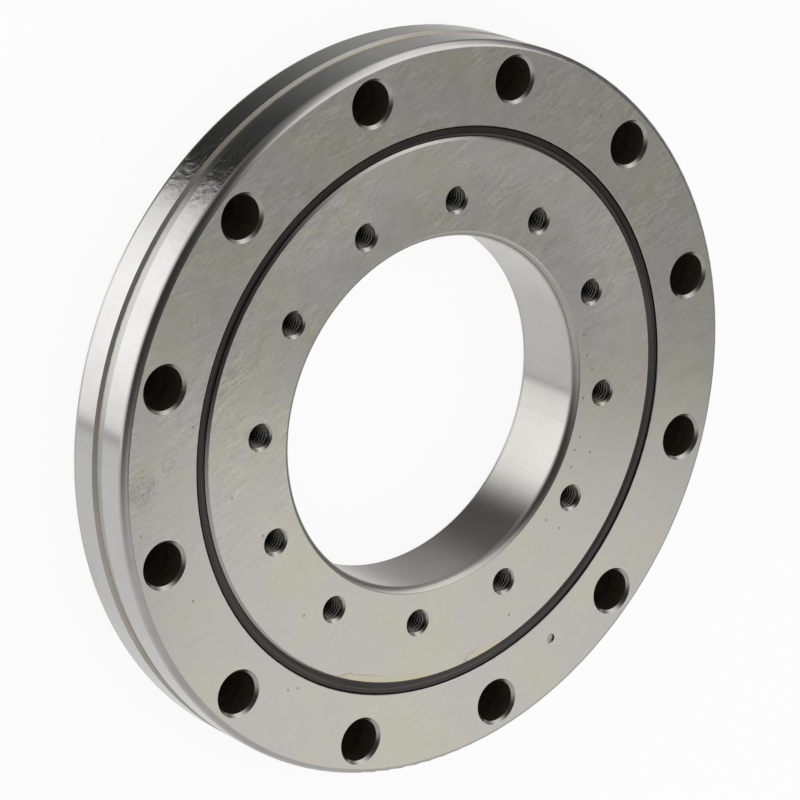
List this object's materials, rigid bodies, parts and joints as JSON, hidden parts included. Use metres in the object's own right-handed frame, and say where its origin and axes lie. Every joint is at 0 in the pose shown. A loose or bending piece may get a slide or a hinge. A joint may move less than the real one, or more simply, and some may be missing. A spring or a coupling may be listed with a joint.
{
  "type": "crossed roller bearing",
  "caption": "Flat crossed roller bearing with mounting holes in both rings, V raceways, sealed faces, crossed rollers kept apart by spacers, and an oil groove round the outside.",
  "frame": {"origin": "centre of the bearing's axis at the back face, on which it lies", "axes": "+Z along the bearing's axis, towards the counterbored front face; +X through one mounting hole of the outer ring"},
  "size_m": [0.24, 0.24, 0.028],
  "materials": {
    "ground_steel": "ground",
    "roller_steel": "lapped",
    "pin_steel": "turned",
    "seal_rubber": "moulded",
    "spacer_plastic": "moulded"
  },
  "bodies": {
    "outer": {"outer_ring": "ground_steel", "front_seal": "seal_rubber", "back_seal": "seal_rubber", "loading_plug": "ground_steel", "plug_pin": "pin_steel"},
    "inner": {"inner_ring": "ground_steel"},
    "cage": {"spacers": "spacer_plastic"},
    "roller_01": {"roller_01": "roller_steel"},
    "roller_02": {"roller_02": "roller_steel"},
    "roller_03": {"roller_03": "roller_steel"},
    "roller_04": {"roller_04": "roller_steel"},
    "roller_05": {"roller_05": "roller_steel"},
    "roller_06": {"roller_06": "roller_steel"},
    "roller_07": {"roller_07": "roller_steel"},
    "roller_08": {"roller_08": "roller_steel"},
    "roller_09": {"roller_09": "roller_steel"},
    "roller_10": {"roller_10": "roller_steel"},
    "roller_11": {"roller_11": "roller_steel"},
    "roller_12": {"roller_12": "roller_steel"},
    "roller_13": {"roller_13": "roller_steel"},
    "roller_14": {"roller_14": "roller_steel"},
    "roller_15": {"roller_15": "roller_steel"},
    "roller_16": {"roller_16": "roller_steel"},
    "roller_17": {"roller_17": "roller_steel"},
    "roller_18": {"roller_18": "roller_steel"},
    "roller_19": {"roller_19": "roller_steel"},
    "roller_20": {"roller_20": "roller_steel"},
    "roller_21": {"roller_21": "roller_steel"},
    "roller_22": {"roller_22": "roller_steel"},
    "roller_23": {"roller_23": "roller_steel"},
    "roller_24": {"roller_24": "roller_steel"},
    "roller_25": {"roller_25": "roller_steel"},
    "roller_26": {"roller_26": "roller_steel"},
    "roller_27": {"roller_27": "roller_steel"},
    "roller_28": {"roller_28": "roller_steel"},
    "roller_29": {"roller_29": "roller_steel"},
    "roller_30": {"roller_30": "roller_steel"},
    "roller_31": {"roller_31": "roller_steel"},
    "roller_32": {"roller_32": "roller_steel"},
    "roller_33": {"roller_33": "roller_steel"},
    "roller_34": {"roller_34": "roller_steel"},
    "roller_35": {"roller_35": "roller_steel"},
    "roller_36": {"roller_36": "roller_steel"}
  },
  "joints": [
    {"name": "inner_spin", "type": "hinge", "parent": "outer", "child": "inner", "pos_m": [0, 0, 0.014], "axis": [0, 0, 1], "continuous": true},
    {"name": "cage_orbit", "type": "hinge", "parent": "outer", "child": "cage", "pos_m": [0, 0, 0.014], "axis": [0, 0, 1], "continuous": true},
    {"name": "roller_01_spin", "type": "hinge", "parent": "cage", "child": "roller_01", "pos_m": [0.08866, 0.00776, 0.014], "axis": [0.7044, 0.0616, -0.7071], "continuous": true},
    {"name": "roller_02_spin", "type": "hinge", "parent": "cage", "child": "roller_02", "pos_m": [0.08597, 0.02303, 0.014], "axis": [0.683, 0.183, 0.7071], "continuous": true},
    {"name": "roller_03_spin", "type": "hinge", "parent": "cage", "child": "roller_03", "pos_m": [0.08066, 0.03761, 0.014], "axis": [0.6409, 0.2988, -0.7071], "continuous": true},
    {"name": "roller_04_spin", "type": "hinge", "parent": "cage", "child": "roller_04", "pos_m": [0.0729, 0.05105, 0.014], "axis": [0.5792, 0.4056, 0.7071], "continuous": true},
    {"name": "roller_05_spin", "type": "hinge", "parent": "cage", "child": "roller_05", "pos_m": [0.06293, 0.06293, 0.014], "axis": [0.5, 0.5, -0.7071], "continuous": true},
    {"name": "roller_06_spin", "type": "hinge", "parent": "cage", "child": "roller_06", "pos_m": [0.05105, 0.0729, 0.014], "axis": [0.4056, 0.5792, 0.7071], "continuous": true},
    {"name": "roller_07_spin", "type": "hinge", "parent": "cage", "child": "roller_07", "pos_m": [0.03761, 0.08066, 0.014], "axis": [0.2988, 0.6409, -0.7071], "continuous": true},
    {"name": "roller_08_spin", "type": "hinge", "parent": "cage", "child": "roller_08", "pos_m": [0.02303, 0.08597, 0.014], "axis": [0.183, 0.683, 0.7071], "continuous": true},
    {"name": "roller_09_spin", "type": "hinge", "parent": "cage", "child": "roller_09", "pos_m": [0.00776, 0.08866, 0.014], "axis": [0.0616, 0.7044, -0.7071], "continuous": true},
    {"name": "roller_10_spin", "type": "hinge", "parent": "cage", "child": "roller_10", "pos_m": [-0.00776, 0.08866, 0.014], "axis": [-0.0616, 0.7044, 0.7071], "continuous": true},
    {"name": "roller_11_spin", "type": "hinge", "parent": "cage", "child": "roller_11", "pos_m": [-0.02303, 0.08597, 0.014], "axis": [-0.183, 0.683, -0.7071], "continuous": true},
    {"name": "roller_12_spin", "type": "hinge", "parent": "cage", "child": "roller_12", "pos_m": [-0.03761, 0.08066, 0.014], "axis": [-0.2988, 0.6409, 0.7071], "continuous": true},
    {"name": "roller_13_spin", "type": "hinge", "parent": "cage", "child": "roller_13", "pos_m": [-0.05105, 0.0729, 0.014], "axis": [-0.4056, 0.5792, -0.7071], "continuous": true},
    {"name": "roller_14_spin", "type": "hinge", "parent": "cage", "child": "roller_14", "pos_m": [-0.06293, 0.06293, 0.014], "axis": [-0.5, 0.5, 0.7071], "continuous": true},
    {"name": "roller_15_spin", "type": "hinge", "parent": "cage", "child": "roller_15", "pos_m": [-0.0729, 0.05105, 0.014], "axis": [-0.5792, 0.4056, -0.7071], "continuous": true},
    {"name": "roller_16_spin", "type": "hinge", "parent": "cage", "child": "roller_16", "pos_m": [-0.08066, 0.03761, 0.014], "axis": [-0.6409, 0.2988, 0.7071], "continuous": true},
    {"name": "roller_17_spin", "type": "hinge", "parent": "cage", "child": "roller_17", "pos_m": [-0.08597, 0.02303, 0.014], "axis": [-0.683, 0.183, -0.7071], "continuous": true},
    {"name": "roller_18_spin", "type": "hinge", "parent": "cage", "child": "roller_18", "pos_m": [-0.08866, 0.00776, 0.014], "axis": [-0.7044, 0.0616, 0.7071], "continuous": true},
    {"name": "roller_19_spin", "type": "hinge", "parent": "cage", "child": "roller_19", "pos_m": [-0.08866, -0.00776, 0.014], "axis": [-0.7044, -0.0616, -0.7071], "continuous": true},
    {"name": "roller_20_spin", "type": "hinge", "parent": "cage", "child": "roller_20", "pos_m": [-0.08597, -0.02303, 0.014], "axis": [-0.683, -0.183, 0.7071], "continuous": true},
    {"name": "roller_21_spin", "type": "hinge", "parent": "cage", "child": "roller_21", "pos_m": [-0.08066, -0.03761, 0.014], "axis": [-0.6409, -0.2988, -0.7071], "continuous": true},
    {"name": "roller_22_spin", "type": "hinge", "parent": "cage", "child": "roller_22", "pos_m": [-0.0729, -0.05105, 0.014], "axis": [-0.5792, -0.4056, 0.7071], "continuous": true},
    {"name": "roller_23_spin", "type": "hinge", "parent": "cage", "child": "roller_23", "pos_m": [-0.06293, -0.06293, 0.014], "axis": [-0.5, -0.5, -0.7071], "continuous": true},
    {"name": "roller_24_spin", "type": "hinge", "parent": "cage", "child": "roller_24", "pos_m": [-0.05105, -0.0729, 0.014], "axis": [-0.4056, -0.5792, 0.7071], "continuous": true},
    {"name": "roller_25_spin", "type": "hinge", "parent": "cage", "child": "roller_25", "pos_m": [-0.03761, -0.08066, 0.014], "axis": [-0.2988, -0.6409, -0.7071], "continuous": true},
    {"name": "roller_26_spin", "type": "hinge", "parent": "cage", "child": "roller_26", "pos_m": [-0.02303, -0.08597, 0.014], "axis": [-0.183, -0.683, 0.7071], "continuous": true},
    {"name": "roller_27_spin", "type": "hinge", "parent": "cage", "child": "roller_27", "pos_m": [-0.00776, -0.08866, 0.014], "axis": [-0.0616, -0.7044, -0.7071], "continuous": true},
    {"name": "roller_28_spin", "type": "hinge", "parent": "cage", "child": "roller_28", "pos_m": [0.00776, -0.08866, 0.014], "axis": [0.0616, -0.7044, 0.7071], "continuous": true},
    {"name": "roller_29_spin", "type": "hinge", "parent": "cage", "child": "roller_29", "pos_m": [0.02303, -0.08597, 0.014], "axis": [0.183, -0.683, -0.7071], "continuous": true},
    {"name": "roller_30_spin", "type": "hinge", "parent": "cage", "child": "roller_30", "pos_m": [0.03761, -0.08066, 0.014], "axis": [0.2988, -0.6409, 0.7071], "continuous": true},
    {"name": "roller_31_spin", "type": "hinge", "parent": "cage", "child": "roller_31", "pos_m": [0.05105, -0.0729, 0.014], "axis": [0.4056, -0.5792, -0.7071], "continuous": true},
    {"name": "roller_32_spin", "type": "hinge", "parent": "cage", "child": "roller_32", "pos_m": [0.06293, -0.06293, 0.014], "axis": [0.5, -0.5, 0.7071], "continuous": true},
    {"name": "roller_33_spin", "type": "hinge", "parent": "cage", "child": "roller_33", "pos_m": [0.0729, -0.05105, 0.014], "axis": [0.5792, -0.4056, -0.7071], "continuous": true},
    {"name": "roller_34_spin", "type": "hinge", "parent": "cage", "child": "roller_34", "pos_m": [0.08066, -0.03761, 0.014], "axis": [0.6409, -0.2988, 0.7071], "continuous": true},
    {"name": "roller_35_spin", "type": "hinge", "parent": "cage", "child": "roller_35", "pos_m": [0.08597, -0.02303, 0.014], "axis": [0.683, -0.183, -0.7071], "continuous": true},
    {"name": "roller_36_spin", "type": "hinge", "parent": "cage", "child": "roller_36", "pos_m": [0.08866, -0.00776, 0.014], "axis": [0.7044, -0.0616, 0.7071], "continuous": true}
  ],
  "couplings": [
    {"joint": "cage_orbit", "follows": "inner_spin", "ratio": 0.47219},
    {"joint": "roller_01_spin", "follows": "inner_spin", "ratio": 6.3375},
    {"joint": "roller_02_spin", "follows": "inner_spin", "ratio": -6.3375},
    {"joint": "roller_03_spin", "follows": "inner_spin", "ratio": 6.3375},
    {"joint": "roller_04_spin", "follows": "inner_spin", "ratio": -6.3375},
    {"joint": "roller_05_spin", "follows": "inner_spin", "ratio": 6.3375},
    {"joint": "roller_06_spin", "follows": "inner_spin", "ratio": -6.3375},
    {"joint": "roller_07_spin", "follows": "inner_spin", "ratio": 6.3375},
    {"joint": "roller_08_spin", "follows": "inner_spin", "ratio": -6.3375},
    {"joint": "roller_09_spin", "follows": "inner_spin", "ratio": 6.3375},
    {"joint": "roller_10_spin", "follows": "inner_spin", "ratio": -6.3375},
    {"joint": "roller_11_spin", "follows": "inner_spin", "ratio": 6.3375},
    {"joint": "roller_12_spin", "follows": "inner_spin", "ratio": -6.3375},
    {"joint": "roller_13_spin", "follows": "inner_spin", "ratio": 6.3375},
    {"joint": "roller_14_spin", "follows": "inner_spin", "ratio": -6.3375},
    {"joint": "roller_15_spin", "follows": "inner_spin", "ratio": 6.3375},
    {"joint": "roller_16_spin", "follows": "inner_spin", "ratio": -6.3375},
    {"joint": "roller_17_spin", "follows": "inner_spin", "ratio": 6.3375},
    {"joint": "roller_18_spin", "follows": "inner_spin", "ratio": -6.3375},
    {"joint": "roller_19_spin", "follows": "inner_spin", "ratio": 6.3375},
    {"joint": "roller_20_spin", "follows": "inner_spin", "ratio": -6.3375},
    {"joint": "roller_21_spin", "follows": "inner_spin", "ratio": 6.3375},
    {"joint": "roller_22_spin", "follows": "inner_spin", "ratio": -6.3375},
    {"joint": "roller_23_spin", "follows": "inner_spin", "ratio": 6.3375},
    {"joint": "roller_24_spin", "follows": "inner_spin", "ratio": -6.3375},
    {"joint": "roller_25_spin", "follows": "inner_spin", "ratio": 6.3375},
    {"joint": "roller_26_spin", "follows": "inner_spin", "ratio": -6.3375},
    {"joint": "roller_27_spin", "follows": "inner_spin", "ratio": 6.3375},
    {"joint": "roller_28_spin", "follows": "inner_spin", "ratio": -6.3375},
    {"joint": "roller_29_spin", "follows": "inner_spin", "ratio": 6.3375},
    {"joint": "roller_30_spin", "follows": "inner_spin", "ratio": -6.3375},
    {"joint": "roller_31_spin", "follows": "inner_spin", "ratio": 6.3375},
    {"joint": "roller_32_spin", "follows": "inner_spin", "ratio": -6.3375},
    {"joint": "roller_33_spin", "follows": "inner_spin", "ratio": 6.3375},
    {"joint": "roller_34_spin", "follows": "inner_spin", "ratio": -6.3375},
    {"joint": "roller_35_spin", "follows": "inner_spin", "ratio": 6.3375},
    {"joint": "roller_36_spin", "follows": "inner_spin", "ratio": -6.3375}
  ]
}
